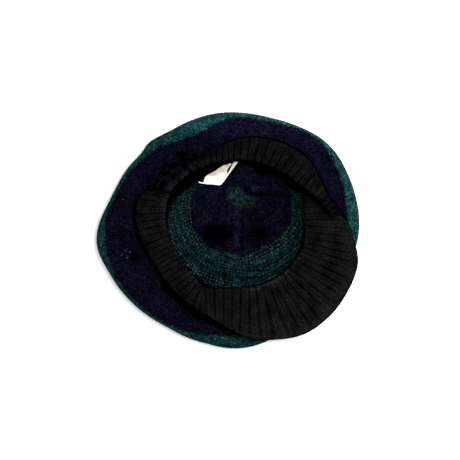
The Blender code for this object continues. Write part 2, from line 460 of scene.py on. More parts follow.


# %% Painted light and shade, lighter on a lump and darker (down to -1) in a hollow
RIGHT_HOLLOW = Spot(30, -6, 18, 14.5, -0.55)
FLAT_PAINTED_LIGHT = [RIGHT_HOLLOW] + rows(
    Spot,
    (-11.5, -5, 18, 15, -0.92),       # the deep hollow left of the ridge
    (-24, -3, 14, 9.5, -0.55),
    (35, -3, 8, 5, -0.45), (22, 17, 8, 9, -0.3), (46, 12, 24, 24, -0.3),
    (20, 62, 13, 10, 1.05),           # the two lumps that swell up under the free edge
    (48, 51, 15, 6, 0.25),
    (42, 44.3, 18, 2.4, 0.5),         # the upper lip of the crease
    (29, 45, 4.5, 3.2, 1.0),
    (9.6, -1, 2.3, 34, 1.1),          # the ridge, and the wool that sinks beside it
    (14.6, -4, 2.6, 28, -0.5), (4.4, -2, 2.4, 26, -0.45),
    (6, 38, 6.5, 5, 0.55),            # the star's brightest lumps
    (21, 43, 5.5, 3.0, -0.6),
    (-62, 8, 6, 20, 0.35),            # the left of the ring faces the light, and its right doesn't
    (-54, -6, 14, 32, 0.25), (18, -50, 50, 16, -0.15), (-25, -60.5, 7, 4, -0.85), (72, -8, 14, 34, -0.15),
)
OUTER_PAINTED_LIGHT = rows(
    Spot,
    (-48, 79, 9, 4, -0.85),           # the puckers at the back left
    (-66, 68, 5, 6, -0.5), (-80, 53, 8, 5, -0.5), (-30, 90, 9, 3, -0.35),
    (-99, -29, 6, 8, -0.85),          # the hollow at the left
    (-92, -36, 6, 7, -0.25),
    (30, 108, 75, 13, 0.5),           # the back, which faces the light
    (95, 88, 16, 9, 0.3), (10, -119, 70, 9, -0.3), (-80, 100, 40, 14, -0.15),
)


class ShadowPoint(NamedTuple):
    """A point of a line along which a raised edge keeps the light off the wool beside it."""
    x: float
    y: float
    width: float


# Painted shadows: the headband and the peak stand over the crown, and the headband's free end over the peak.
CROWN_SHADOW = rows(
    ShadowPoint,
    (-72, -54, 2.0), (-60, -65, 10.0), (-42, -80, 13.5), (-22, -92, 12.0), (-4, -103, 8.0), (14, -113, 3.0),
)
PEAK_SHADOW = rows(
    ShadowPoint,
    (73, 48, 7.0), (86, 41, 7.0), (98, 30, 6.0), (106, 19.5, 4.5), (109, 14.5, 2.0),
)


def patch(x, y, spot):
    """1 inside a spot with a ragged edge, 0 outside."""
    away = math.hypot((x - spot.x) / spot.half_x, (y - spot.y) / spot.half_y) + 0.35 * wavy(x, y, 5, 4.2)
    return 1 - ease(away, 0.55, 1.25)


def painted_spot_light(tones, x, y):
    return math.prod(1 + tone.change * patch(x, y, tone) for tone in tones)


def in_shadow(path, x, y):
    """1 beside the raised edge, 0 further off than the shadow's width."""
    ragged = 3.0 * wavy(x, y, 8, 9.3) + 1.5 * wavy(x, y, 3, 4.6)
    deepest = 0.0
    for start, end in zip(path, path[1:]):
        near, far = Vector((start.x, start.y)), Vector((end.x, end.y))
        _, share = intersect_point_line(Vector((x, y)), near, far)
        share = min(max(share, 0.0), 1.0)
        width = start.width + share * (end.width - start.width)
        away = (Vector((x, y)) - near.lerp(far, share)).length + ragged
        deepest = max(deepest, 1 - ease(away, 0.35 * width, 1.1 * width))
    return deepest


def flat_top_light(x, y):
    """The flat top's painted light: 1 in the open, less in shadow, a crease or a hollow, more on a lump."""
    angle = math.degrees(math.atan2(y, x)) % 360
    inside = opening_radius(angle) - math.hypot(x, y) + 1.6 * wavy(x, y, 5, 2.6)
    width = read_table(SHADE_WIDTHS, angle, 360).width
    strip = 0.04 + 0.96 * ease(inside, 0.65 * width, 1.05 * width)
    crease = 0.89 * bump(y - 39.0, 1.5) * window(x, 18, 26, 54, 62)
    front_fold = 0.85 * bump(x + 3.5, 1.2) * window(y, -68, -50, -45, -30)
    return strip * (1 - crease) * (1 - front_fold) * painted_spot_light(FLAT_PAINTED_LIGHT, x, y)


def under_light(x, y, to_seam, pucker):
    """The underside's painted light, at a distance from its seam: shade along it and beside raised edges."""
    at_left = ease(-x, 40, 70) * ease(-y, -60, -40)
    seam_line = 0.85 * (1 - ease(to_seam, 0.8, 2.6 + 1.6 * at_left)) * (1 - 0.85 * pucker)
    return (1 - seam_line) * (1 - 0.96 * in_shadow(CROWN_SHADOW, x, y)) * painted_spot_light(OUTER_PAINTED_LIGHT, x, y)


def stitch_clearness(x, y, distance):
    """How clearly the stitches show: best in the checks, less where the wool is felted."""
    checks = 0.9 * max(bump(distance - 60, 4), bump(distance - 92.7, 5))
    ring = 0.6 * window(distance, 53, 58, 100, 106)
    hollow = 0.8 * patch(x, y, RIGHT_HOLLOW)
    return max(checks, ring, hollow, 0.3)


# %% The path of one wale
class Wale:
    """The crown's sizes at one angle, and the path of its wale over the fabric."""

    def __init__(self, angle):
        cut = read_table(CROWN_SECTIONS, angle, 360)
        self.angle = angle
        self.turn = from_polar(angle, 1.0, 0.0)
        self.rim_radius = cut.rim_radius + trimmed(RIM_TRIMS, angle)
        self.rim_height = cut.rim_height
        self.seam_radius = cut.seam_radius
        self.seam_height = cut.seam_height + trimmed(TUCK_TRIMS, angle)
        self.green_width = read_table(RIM_GREENS, angle, 360).width
        self.roll = 2.0 + 0.5 * self.rim_height
        self.flat_radius = self.rim_radius - self.roll
        self.pucker = bump(turned(angle, PUCKER_ANGLE), PUCKER_SPREAD)
        depth = GATHER_DEPTH + PUCKER_DEPTH * self.pucker
        self.gather = 0.5 * depth * math.cos(math.radians(GATHERS * angle))
        outward = self.turn * self.flat_radius - STAR_CENTRE
        self.star_angle = angle + turned(math.degrees(math.atan2(outward.y, outward.x)), angle)

    def flat_point(self, share):
        """A point of the flat top, at a share of the way from the star to the fold."""
        point = STAR_CENTRE.lerp(self.turn * self.flat_radius, share)
        point.z = flat_top_lift(point.x, point.y) * (1 - ease(share, 0.86, 1.0))
        return point

    def fold_point(self, share):
        turn = math.pi * (share - 0.5)
        point = self.turn * (self.flat_radius + self.roll * math.cos(turn))
        point.z = 0.5 * self.rim_height * (1 + math.sin(turn))
        return point

    def under_point(self, share):
        radius = self.flat_radius + share * (self.seam_radius - self.flat_radius)
        point = self.turn * radius
        rise = ease(share, 0, 1)
        point.z = self.rim_height + rise * (self.seam_height - self.rim_height) + self.gather * share ** 2
        point.z -= LEFT_HOLLOW_DEPTH * bump(math.dist(point.xy, LEFT_HOLLOW), LEFT_HOLLOW_SPREAD)
        folds = 1.0 * wavy(point.x, point.y, 19, 1.7) + 0.45 * wavy(point.x, point.y, 7, 5.9)
        puckers = 2.2 * self.pucker * wavy(self.angle * 2.6, radius, 9, 7.7) * ease(share, 0.45, 0.8)
        point.z += (folds + puckers) * math.sin(math.pi * min(share, 0.92))
        return point

    def path(self):
        points = [self.flat_point(0.0)]
        parts = ((self.flat_point, FLAT_ROWS), (self.fold_point, FOLD_ROWS), (self.under_point, UNDER_ROWS))
        for point_at, cuts in parts:
            points += [point_at(cut / cuts) for cut in range(1, cuts + 1)]
        return points


# %% Where the pale checks show
CHECK_SPANS = [(188, 236), (270, 290), (297, 316)]


def checks_shown(star_angle, distance):
    """1 where the ring starts with pale checks, 0 where it starts with plain green."""
    angle = star_angle % 360 + 5 * wavy(star_angle, distance, 6, 2.2)
    return max(window(angle, start - 3, start + 3, end - 3, end + 3) for start, end in CHECK_SPANS)


# %% The fabric distance along a wale
def between(value, stops):
    """A value carried by straight lines through (from, to) stops."""
    for (from_a, to_a), (from_b, to_b) in zip(stops, stops[1:]):
        if value <= from_b or (from_b, to_b) == stops[-1]:
            return to_a + (to_b - to_a) * (value - from_a) / (from_b - from_a)


def fabric_distances(wale, points):
    """The distance from the star at each point of a wale, as the knitter's chart counts it. The lie of
    the hat squeezes and stretches the fabric, so the stripes are pinned where they are seen."""
    travelled = [0.0]
    for before, after in zip(points, points[1:]):
        travelled.append(travelled[-1] + (after - before).length)
    flat_edge = travelled[FLAT_ROWS]
    near_rim_top = FLAT_ROWS + FOLD_ROWS - 5
    shrinking = [(-point.to_2d().length, length) for point, length in zip(points, travelled)][near_rim_top:]
    green_end = between(wale.green_width - wale.rim_radius, shrinking)
    green = read_table(INNER_GREENS, wale.star_angle, 360)
    ring_end = min(green.ring_start + green.ring_width, flat_edge - 6)
    stops = [
        (0.0, 0.0), (green.star_edge, STAR_EDGE), (green.ring_start, RING_START), (ring_end, RING_END),
        (flat_edge, RIM_GREEN_START), (green_end, RIM_GREEN_END), (travelled[-1], SEAM_DISTANCE),
    ]
    return [between(value, stops) for value in travelled]


# %% Make the crown
wales = []
for column in range(WALES_CUT + 1):
    wale = Wale(360 * column / WALES_CUT)
    points = wale.path()
    wales.append((wale, points, fabric_distances(wale, points)))


def crown_place(column, row):
    wale, points, distances = wales[column]
    point = points[row]
    distance = distances[row]
    if row <= FLAT_ROWS:
        light = flat_top_light(point.x, point.y)
    else:
        to_seam = (CROWN_ROWS - row) / UNDER_ROWS * abs(wale.flat_radius - wale.seam_radius)
        light = under_light(point.x, point.y, to_seam, ease(wale.pucker, 0.3, 0.8))
    turn = wale.star_angle + (wale.angle - wale.star_angle) * ease(distance, 100, 126)
    clearness = stitch_clearness(point.x, point.y, distance)
    numbers = {"openness": light, "clearness": clearness, "checks": checks_shown(wale.star_angle, distance)}
    return point, (turn / 360, distance / 100), numbers


crown = knit_grid("crown_knit", WALES_CUT, CROWN_ROWS, crown_place)
wall = crown.modifiers.new("wall", "SOLIDIFY")
wall.thickness = CROWN_WALL * MM
wall.offset = -1.0
wall.use_even_offset = False
print("crown:", len(crown.data.polygons), "squares of knit on each side")

# %% [markdown]
# ## Brushed fibres
# Brushing lifts fine fibres out of the wool, which soften the hat's outline and catch the light. Blender
# could grow them as hair, but the exported model holds meshes only. So each is a thin leaning cone of a
# few faces, which keeps its root's stitch in its UV map and so takes the colour of its stripe. They are
# made in small batches, because an operator slows down as its mesh grows.

# %% Named sizes of the fibres
FIBRE_WIDTH = 0.16
OUTSIDE_FIBRES = 0.75      # to a square millimetre
INSIDE_FIBRES = 0.35
OUTSIDE_LENGTH = (1.0, 2.6)
INSIDE_LENGTH = (0.8, 1.8)
ROOT_DEPTH = 0.2
LOWEST_TIP = 0.6
FELTED = 0.3               # a fibre shows no clear stitch
BATCH = 250
SEEN_ROWS = 46             # the rows of the flat top that the opening shows

# A few pale specks of lint lie on the back and on the left.
LINT_SPOTS = [(-24, 105), (-112, 32), (-91, 1), (-109, -23), (-107, -30), (-104, -25), (-113, -27), (60, 112)]
LINT_REACH = 0.9


class Fibre(NamedTuple):
    """A fibre from its root to its tip, with what it takes from the fabric at its root."""
    root: Vector
    tip: Vector
    uv: tuple
    light: float
    lint: float


# %% Where the fibres stand
chance = random.Random(5)


def fibres_of_cell(column, row, per_area, lengths):
    """The fibres on one square of the grid, by chance."""
    points = wales[column][1]
    corner, beside, ahead = points[row], wales[column + 1][1][row], points[row + 1]
    outward = (beside - corner).cross(ahead - corner)
    area = outward.length
    outward.normalize()
    inside = row < FLAT_ROWS
    stand = -outward if inside else outward
    _, uv, numbers = crown_place(column, row)
    fibres = []
    for _ in range(math.floor(area * per_area + chance.random())):
        root = corner.lerp(beside, chance.random()) + (ahead - corner) * chance.random()
        root += stand * (CROWN_WALL if inside else 0.0)
        lean = Vector((chance.gauss(0, 1), chance.gauss(0, 1), chance.gauss(0, 0.5))).normalized()
        way = (lean + stand * (0.35 + 0.5 * chance.random())).normalized()
        tip = root + way * chance.uniform(*lengths)
        lint = float(any(math.dist(root.xy, spot) < LINT_REACH for spot in LINT_SPOTS))
        if tip.z > LOWEST_TIP:
            # Each fibre takes the painted light of its root, scaled by chance, mostly up, as a painted
            # highlight.
            light = numbers["openness"] * chance.uniform(0.8, 2.2)
            fibres.append(Fibre(root - stand * ROOT_DEPTH, tip, uv, light, lint))
    return fibres


fibres = []
for column in range(WALES_CUT):
    for row in range(SEEN_ROWS):
        fibres += fibres_of_cell(column, row, INSIDE_FIBRES, INSIDE_LENGTH)
    for row in range(FLAT_ROWS + FOLD_ROWS // 4, CROWN_ROWS - 1):
        fibres += fibres_of_cell(column, row, OUTSIDE_FIBRES, OUTSIDE_LENGTH)


# %% Make the fibres
def joined(name, meshes, placing):
    """One piece from meshes in millimetres, which are used up."""
    bm = bmesh.new()
    for mesh in meshes:
        bm.from_mesh(mesh)
        bpy.data.meshes.remove(mesh)
    bmesh.ops.transform(bm, matrix=Matrix.Scale(MM, 4) @ placing, verts=bm.verts)
    return piece_from(name, bm)


def fibre_batch(batch):
    """A mesh of some fibres."""
    bm = bmesh.new()
    uv_layer = bm.loops.layers.uv.new("stitch")
    openness, clearness, lint = (bm.verts.layers.float.new(key) for key in ("openness", "clearness", "lint"))
    for fibre in batch:
        along = fibre.tip - fibre.root
        turning = along.to_track_quat("Z", "X").to_matrix().to_4x4()
        stand = Matrix.Translation(fibre.root + along / 2) @ turning
        radius = FIBRE_WIDTH / 2 * (1 + 3 * fibre.lint)
        cone = bmesh.ops.create_cone(bm, cap_ends=True, segments=3, radius1=radius, radius2=0.0,
                                     depth=along.length, matrix=stand)
        for vert in cone["verts"]:
            vert[openness] = fibre.light
            vert[clearness] = FELTED
            vert[lint] = fibre.lint
            for loop in vert.link_loops:
                loop[uv_layer].uv = fibre.uv
    return mesh_from("batch", bm)


batches = (fibre_batch(fibres[start:start + BATCH]) for start in range(0, len(fibres), BATCH))
crown_fibres = joined("crown_fibres", batches, Matrix())
print("fibres:", len(fibres), "with", len(crown_fibres.data.polygons), "faces")

# %% [markdown]
# ## Ribs
# Ribbing stretches and grips. In this one two knit columns stand up beside each other, and the purl
# columns between the pairs draw together into a dark groove. The headband is a doubled strip of it, and
# the peak is covered with it. A bump in the material could show the ribs, but their edges would stay
# straight, where the real ones are scalloped. So they are raised in the mesh of a closed sleeve, whose
# grid runs from rib to rib one way and right round the strip the other way.

# %% The height of a rib's columns
CUTS_PER_RIB = 16
KNIT_COLUMNS = (0.32, 0.68)
COLUMN_HALF_WIDTH = 0.175
COLUMN_HEIGHT = 0.7
GROOVE_DEPTH = 1.0
GROOVE_WIDTHS = (0.042, 0.064)    # at the inner edge and at the outer edge, as shares of a rib
STITCH_LENGTH = 3.0
STITCH_DEPTH = 0.25
MOST_SINK = COLUMN_HEIGHT + GROOVE_DEPTH


def column_arch(away):
    """The round back of one column, 1 at its middle and 0 at its sides."""
    return math.sqrt(max(1 - (away / COLUMN_HALF_WIDTH) ** 2, 0.0))


def rib_relief(rib, along, groove_width):
    """How far the surface sinks below the top of the ribs, from 0 to 1. The two columns of a rib are
    the two legs of its stitches, so their loops lean towards each other."""
    phase = rib % 1.0
    left, right = (column_arch(phase - centre) for centre in KNIT_COLUMNS)
    lean = 0.35 * (abs(phase - 0.5) - 0.165) / COLUMN_HALF_WIDTH
    loop = 0.5 + 0.5 * math.cos(2 * math.pi * (along / STITCH_LENGTH + lean))
    knit = max(left, right) * (1 - STITCH_DEPTH * (1 - loop))
    groove = bump(min(phase, 1 - phase), groove_width)
    sink = COLUMN_HEIGHT * (1 - knit) * (1 - groove) + GROOVE_DEPTH * groove
    return sink / MOST_SINK


# %% A ribbed sleeve
END_CAP_CUTS = 6
TOP_CUTS = 60
LOWER_CUTS = 16
END_TAPER_RIBS = 1.5
END_THICKNESS = 0.75


def sleeve_outline(width, half):
    """(across, side, outward) round a strip: round at the inner edge, flat on top, round at the outer
    edge and flat below."""
    outline = []
    for middle, way, cuts in ((half, -1.0, TOP_CUTS), (width - half, 1.0, LOWER_CUTS)):
        for cut in range(END_CAP_CUTS):
            turn = way * math.pi * (0.5 - cut / END_CAP_CUTS)
            outward = (way * math.cos(turn), math.sin(turn))
            outline.append((middle + half * outward[0], half * outward[1], outward))
        for cut in range(cuts):
            outline.append((middle - way * (width - 2 * half) * cut / cuts, -way * half, (0.0, -way)))
    return outline + [(half, -half, (0.0, -1.0))]


def sleeve_ring(rib, half, ends, shape):
    """What knit_grid asks for, point by point round the strip at one rib."""
    start, end = ends(rib)
    along = end - start
    width = along.length
    along.normalize()
    upward = (Vector((0, 0, 1)) - along * along.z).normalized()
    narrow, wide = GROOVE_WIDTHS
    ring = []
    travelled = 0.0
    for across, side, outward in sleeve_outline(width, half):
        middle = start + along * across
        smooth = middle + upward * side
        if ring:
            travelled += (smooth - smooth_before).length
        smooth_before = smooth
        lift, relief, light, navy = shape(middle, across, rib, width)
        groove_width = narrow + (wide - narrow) * ease(across / width, 0.2, 0.8)
        sink = rib_relief(rib, travelled, groove_width) * relief
        depth = MOST_SINK * sink
        point = start + along * (across - depth * outward[0])
        point += upward * (side - depth * outward[1] + lift)
        # The groove gets painted shade as deep as it sinks, on top of the painted light that shape gives.
        ring.append((point, (rib, travelled / 100), {"openness": (1 - sink) * light, "navy": navy}))
    return ring


def ribbed_sleeve(name, ribs, thickness, free_rib, ends, shape):
    """A closed ribbed strip, thinner towards its free end, the rib number free_rib. ends(rib) gives the
    inner and the outer end of a rib, and shape(point, across, rib, width) gives its bulge, how much of
    the relief is left, its painted light and how navy it is."""
    stations = ribs * CUTS_PER_RIB
    rings = []
    for station in range(stations + 1):
        rib = station / CUTS_PER_RIB
        from_end = min(abs(rib - free_rib) / END_TAPER_RIBS, 1.0)
        half = 0.5 * thickness * (END_THICKNESS + (1 - END_THICKNESS) * from_end)
        rings.append(sleeve_ring(rib, half, ends, shape))
    piece = knit_grid(name, stations, len(rings[0]) - 1, lambda column, row: rings[column][row])
    close_ends(piece)
    return piece


def close_ends(piece):
    """Fill a sleeve's two open ends, and turn its faces outwards."""
    bm = bmesh.new()
    bm.from_mesh(piece.data)
    open_edges = [edge for edge in bm.edges if edge.is_boundary]
    bmesh.ops.holes_fill(bm, edges=open_edges, sides=0)
    bmesh.ops.recalc_face_normals(bm, faces=bm.faces)
    bm.to_mesh(piece.data)
    bm.free()
    piece.data.shade_smooth()


# %% Make the headband
BAND_RIBS = 52
BAND_THICKNESS = 4.0
BAND_BULGE = 3.0
CRUMPLE_HEIGHT = 2.4
CRUMPLED_RIBS = (21.8, 24.5, 30.0, 33.0)
SMOOTH_RIBS = (1, 3, 12, 17)        # at the right, where the ribs draw flat
# Ribs that get more painted light, and ribs whose free edge gets more of a painted highlight.
LIT_RIBS = (2, 6, 8, 14)
LIT_EDGE_RIBS = (18, 22, 36, 40)
SEAM_GAP = 0.6


def band_ends(rib):
    cut = read_table(BAND_SECTIONS, rib)
    crown_cut = read_table(CROWN_SECTIONS, cut.seam_angle, 360)
    height = crown_cut.seam_height - 0.5 * CROWN_WALL
    return cut.edge(), from_polar(cut.seam_angle, crown_cut.seam_radius - SEAM_GAP, height)


def band_shape(point, across, rib, width):
    """The headband swells between its edges, and its ribs draw flat into the seam. At the back left the
    crown's gathers push it into crumpled navy puckers. Its light is painted: a highlight on the free edge,
    more light on the ribs that face the light, and shade in the puckers, at the tip, at the right and
    where the ribs tuck into the seam."""
    share = across / width
    crumpled = window(rib, *CRUMPLED_RIBS)
    pucker = crumpled * ease(across + 3.0 * wavy(rib * 6, 3, 8, 2.8), 3.5, 7.5)
    crumple = wavy(rib * 6, across, 5, 1.2)
    lift = BAND_BULGE * swell(share) + CRUMPLE_HEIGHT * pucker * crumple
    lift += 0.9 * crumpled * wavy(rib * 6, 0, 7, 3.4)
    at_right = window(rib, *SMOOTH_RIBS) * ease(share, 0.35, 0.8)
    relief = (1 - 0.75 * share ** 4) * (1 - 0.5 * crumpled) * (1 - 0.45 * at_right)

    at_edge = 1 - ease(across, 2.0, 6.5)
    edge_light = 1 + (0.15 + 0.35 * window(rib, *LIT_EDGE_RIBS)) * at_edge
    lumps = 1 - 0.65 * crumpled * at_edge * ease(-wavy(rib * 5, 0, 4, 6.7), -0.2, 0.3)
    hollow = pucker * (0.15 + 0.85 * ease(-crumple, -0.2, 0.15))
    towards_light = 0.68 + 0.12 * window(rib, *LIT_RIBS)
    towards_light += 0.24 * ease(rib, 22, 34) - 0.12 * ease(rib, 42, 47)
    ragged = 1.5 * wavy(point.x, point.y, 6, 3.3)
    tucked = 1 - 0.75 * ease(rib, 31, 34) * (1 - ease(width - across + ragged, 0.5, 4.0))
    blotch = 1 + 0.5 * wavy(point.x, point.y, 9, 8.8)
    dim = lumps * (1 - 0.12 * crumpled) * (1 - 0.25 * (1 - ease(rib, 2.5, 5.5))) * (1 - 0.25 * at_right)
    return lift, relief, dim * towards_light * edge_light * (1 - 0.9 * hollow) * tucked * blotch, pucker


rib_band = ribbed_sleeve("rib_band_knit", BAND_RIBS, BAND_THICKNESS, 0, band_ends, band_shape)
print("headband:", BAND_RIBS, "ribs,", len(rib_band.data.polygons), "squares")

# %% Make the peak
PEAK_RIBS = 28
PEAK_THICKNESS = 4.5
PEAK_BULGE = 0.3
LEFT_FADE = 4.0            # how far in from the peak's edge the ribs start to flatten
RIGHT_FADE = 13.0
FLUFFED_RIBS = (3.5, 5.5, 12, 15)


def peak_ends(rib):
    cut = read_table(PEAK_SECTIONS, rib)
    return cut.inner(), cut.outer()


def peak_shape(point, across, rib, width):
    """The ribs stretch out flat towards the peak's edge, least of all at the left. Its light is painted: a
    highlight where the wool is fluffed up by the crown's knit, the headband's shadow near its free end,
    and a little lighter towards the peak's edge but darker right at it."""
    share = across / width
    fade = LEFT_FADE + (RIGHT_FADE - LEFT_FADE) * ease(rib, 4, 14)
    relief = 1 - 0.85 * ease(across, width - 1.3 * fade, width - 0.3 * fade)
    relief *= 0.86 + 0.4 * wavy(rib * 7, across, 12, 5.5) * ease(rib, 5, 9)
    # A painted highlight where the wool is fluffed up.
    fluff_highlight = 2.0 * (1 - ease(across, 2.5, 5.5)) * window(rib, *FLUFFED_RIBS)
    fluff_highlight *= max(0.6 + 2 * wavy(point.x, point.y, 5, 1.9), 0.0)
    blotch = 1 + 0.4 * wavy(point.x, point.y, 10, 4.4)
    shadow = 0.93 * in_shadow(PEAK_SHADOW, point.x, point.y)
    light = (0.80 + 0.19 * ease(share, 0.5, 0.9)) * (1 - 0.5 * ease(across, width - 2.2, width - 0.4))
    return PEAK_BULGE * swell(share), relief, light * blotch * (1 + fluff_highlight) * (1 - shadow), 0.0


peak = ribbed_sleeve("peak_knit", PEAK_RIBS, PEAK_THICKNESS, PEAK_RIBS, peak_ends, peak_shape)
print("peak:", PEAK_RIBS, "ribs,", len(peak.data.polygons), "squares")

# %% [markdown]
# ## The label
# The label is a short length of blank woven tape that lies askew and lifts off the wool towards the back.
# One bent rectangle could stand for it, but its turned hem and folded edge are what make it look sewn. So
# it is modelled in layers, as it is folded. Each outline is charted, filled, cut finely so that it can
# curl, and given its thickness last.

# %% Named sizes of the label
TAPE_THICKNESS = 0.6
LABEL_TILT = 18.0
LABEL_CORNER = (-26.8, 48.0, 5.2)
LABEL_CURL = 3.0
LABEL_LOW = -5.5
LABEL_CUTS = 44            # cuts each way, a millimetre apart
TAPE_WELD = 0.06

# Each layer of the folded tape: how high it lies, and its outline.
TAPE_LAYERS = [
    (0.0, [           # the body
        (-0.1, 2.0), (3.7, 1.4), (9.2, 1.3), (13.5, 0.8), (17.2, 0.3), (19.6, 1.2), (23.4, 7.5),
        (25.6, 14.0), (26.0, 17.8), (30.6, 24.0), (28.9, 25.0), (26.1, 23.2), (22.3, 22.6), (19.7, 20.9),
        (16.5, 18.9), (14.0, 16.6), (9.5, 14.1), (6.0, 12.3), (2.1, 9.2), (0.5, 3.4),
    ]),
    (0.55, [          # the hem
        (1.6, 1.9), (3.7, 1.3), (9.2, 1.2), (13.5, 0.7), (17.2, 0.2), (19.6, 1.0), (17.6, 1.9), (11.6, 3.4),
        (5.2, 4.2), (2.0, 4.1),
    ]),
    (0.75, [          # the folded strip
        (17.4, 0.5), (19.6, 1.0), (21.2, 2.8), (37.8, 26.5), (33.0, 26.3), (28.6, 16.8), (24.6, 11.0),
        (19.0, 4.4),
    ]),
    (0.2, [           # the thread end
        (1.4, 3.4), (-1.8, 3.0), (-4.5, 4.1), (-5.1, 3.4), (-2.4, 2.1), (0.4, 1.7),
    ]),
]
# Painted shade on the tape: along its upper-left edge, which lies in the headband's shadow, and a line along
# the hem.
LABEL_PAINTED_SHADE = rows(
    Spot,
    (2.0, 8.0, 2.8, 5.0, 0.4), (8.5, 13.4, 8.5, 3.4, 0.85), (19, 17.5, 6.0, 3.4, 0.55),
    (26.0, 21.0, 3.2, 3.8, 0.45), (12.0, 4.1, 8.0, 0.8, 0.3),
)


# %% Make the label
def tape_layer(height, outline):
    """A closed layer of tape in the label's own plane, in millimetres."""
    bm = bmesh.new()
    shade = bm.verts.layers.float.new("shade")
    corners = [bm.verts.new((x, y, 0.0)) for x, y in outline]
    edges = [bm.edges.new(pair) for pair in zip(corners, corners[1:] + corners[:1])]
    bmesh.ops.triangle_fill(bm, edges=edges, use_beauty=True)
    for cut in range(LABEL_CUTS):
        for normal in (Vector((1, 0, 0)), Vector((0, 1, 0))):
            geometry = bm.verts[:] + bm.edges[:] + bm.faces[:]
            bmesh.ops.bisect_plane(bm, geom=geometry, plane_co=normal * (cut + LABEL_LOW), plane_no=normal)
    bmesh.ops.remove_doubles(bm, verts=bm.verts[:], dist=TAPE_WELD)
    bmesh.ops.dissolve_degenerate(bm, edges=bm.edges[:], dist=TAPE_WELD)
    for vert in bm.verts:
        x, y, _ = vert.co
        vert.co.z = height + LABEL_CURL * ease(y, 7, 27) + 0.4 * wavy(x, y, 9, 6.6)
        vert[shade] = max(tone.change * patch(x, y, tone) for tone in LABEL_PAINTED_SHADE)
    bmesh.ops.recalc_face_normals(bm, faces=bm.faces)
    bmesh.ops.solidify(bm, geom=bm.faces[:], thickness=TAPE_THICKNESS)
    bmesh.ops.recalc_face_normals(bm, faces=bm.faces)
    return mesh_from("layer", bm)


to_place = Matrix.Translation(Vector(LABEL_CORNER)) @ Matrix.Rotation(math.radians(LABEL_TILT), 4, "X")
label = joined("label_tape", (tape_layer(*layer) for layer in TAPE_LAYERS), to_place)
print("label:", len(TAPE_LAYERS), "layers,", len(label.data.polygons), "faces")

# %% [markdown]
# ## Knitted wool as a material
# The crown is knitted in navy and green and then brushed, so its stitches are clear in some rows and
# felted in others. Its stripes could be painted on the mesh, but they would be only as sharp as its
# squares. Here they come from the fabric distance in the UV map, as a knitter reads a chart, and each
# stitch gets its own small hill in the same way. Noise stands for the brushed fibres. A small class joins
# the nodes, so that each line reads like a sum.


# %% Small helpers for material nodes
class Finish:
    """A Principled material with short ways to add and join nodes."""

    def __init__(self, name, roughness=1.0, gloss=0.0):
        self.material = bpy.data.materials.new(name)
        self.material.use_nodes = True
        self.shader = self.material.node_tree.nodes["Principled BSDF"]
        self.give("Roughness", roughness)
        self.give("Specular IOR Level", gloss)

    def give(self, name, value):
        """Give the material itself a value."""
        self.join(value, self.shader.inputs[name])

    def join(self, value, socket):
        if isinstance(value, bpy.types.NodeSocket):
            self.material.node_tree.links.new(value, socket)
        elif value is not None:
            socket.default_value = value

    def node(self, kind, *values, **settings):
        """A node with some settings, whose first inputs take the values in turn."""
        node = self.material.node_tree.nodes.new("ShaderNode" + kind)
        for name, setting in settings.items():
            setattr(node, name, setting)
        for value, socket in zip(values, node.inputs):
            self.join(value, socket)
        return node

    def math(self, operation, *values):
        return self.node("Math", *values, operation=operation).outputs[0]

    def product(self, first, *others):
        for other in others:
            first = self.math("MULTIPLY", first, other)
        return first

    def one_less(self, value):
        """1 less the value."""
        return self.math("SUBTRACT", 1.0, value)

    def vector(self, operation, *values):
        return self.node("VectorMath", *values, operation=operation).outputs["Vector"]

    def rescale(self, value, low, high, new_low=0.0, new_high=1.0):
        return self.node("MapRange", value, low, high, new_low, new_high).outputs[0]

    def noise(self, place, scale, detail=2.0, roughness=0.5):
        return self.node("TexNoise", place, None, scale, detail, roughness).outputs[0]

    def noises(self, place, scale):
        """Three noises that don't depend on each other."""
        return self.node("SeparateColor", self.node("TexNoise", place, None, scale).outputs["Color"]).outputs

    def spread(self, noise, low, high):
        """A noise, which is mostly between 0.3 and 0.7, spread from low to high."""
        return self.rescale(noise, 0.3, 0.7, low, high)

    def pair(self, x, y):
        return self.node("CombineXYZ", x, y).outputs[0]

    def mix(self, amount, first, second, blend="MIX"):
        node = self.node("Mix", data_type="RGBA", blend_type=blend)
        for name, value in (("Factor", amount), ("A", first), ("B", second)):
            self.join(value, node.inputs[name])
        return node.outputs["Result"]

    def steps(self, value, stops):
        """A colour that changes in clean steps, from (place, colour) pairs."""
        node = self.node("ValToRGB", value)
        ramp = node.color_ramp
        ramp.interpolation = "CONSTANT"
        while len(ramp.elements) < len(stops):
            ramp.elements.new(1.0)
        for element, (place, colour) in zip(ramp.elements, stops):
            element.position = place
            element.color = colour
        return node.outputs[0]

    def uv(self, name):
        return self.node("SeparateXYZ", self.node("UVMap", uv_map=name).outputs[0]).outputs[:2]

    def attribute(self, name):
        return self.node("Attribute", attribute_name=name).outputs["Fac"]

    def object_place(self):
        return self.node("TexCoord").outputs["Object"]

    def bump(self, height, distance, strength=1.0, before=None):
        node = self.node("Bump", strength, distance)
        self.join(height, node.inputs["Height"])
        self.join(before, node.inputs["Normal"])
        return node.outputs[0]

    def cover(self, *pieces):
        for piece in pieces:
            piece.data.materials.append(self.material)


# %% The crown's chart
STITCH_WIDTH = 3.5
COURSE_HEIGHT = 3.2
GROWTH_STEP = 12.0         # the knitter adds stitches after each such distance
LAST_GROWTH = 10
CHART_LENGTH = 240.0
STAR_RAYS = 3.2            # more rays as this grows
RAY_LENGTH = 18 * MM
STREAKS_ROUND = 34.0
STITCH_JITTER = 0.22
RAGGED_EDGE = 1.8
FELTED_LOOP = 0.55

NAVY = (0.0026, 0.0023, 0.0064, 1.0)
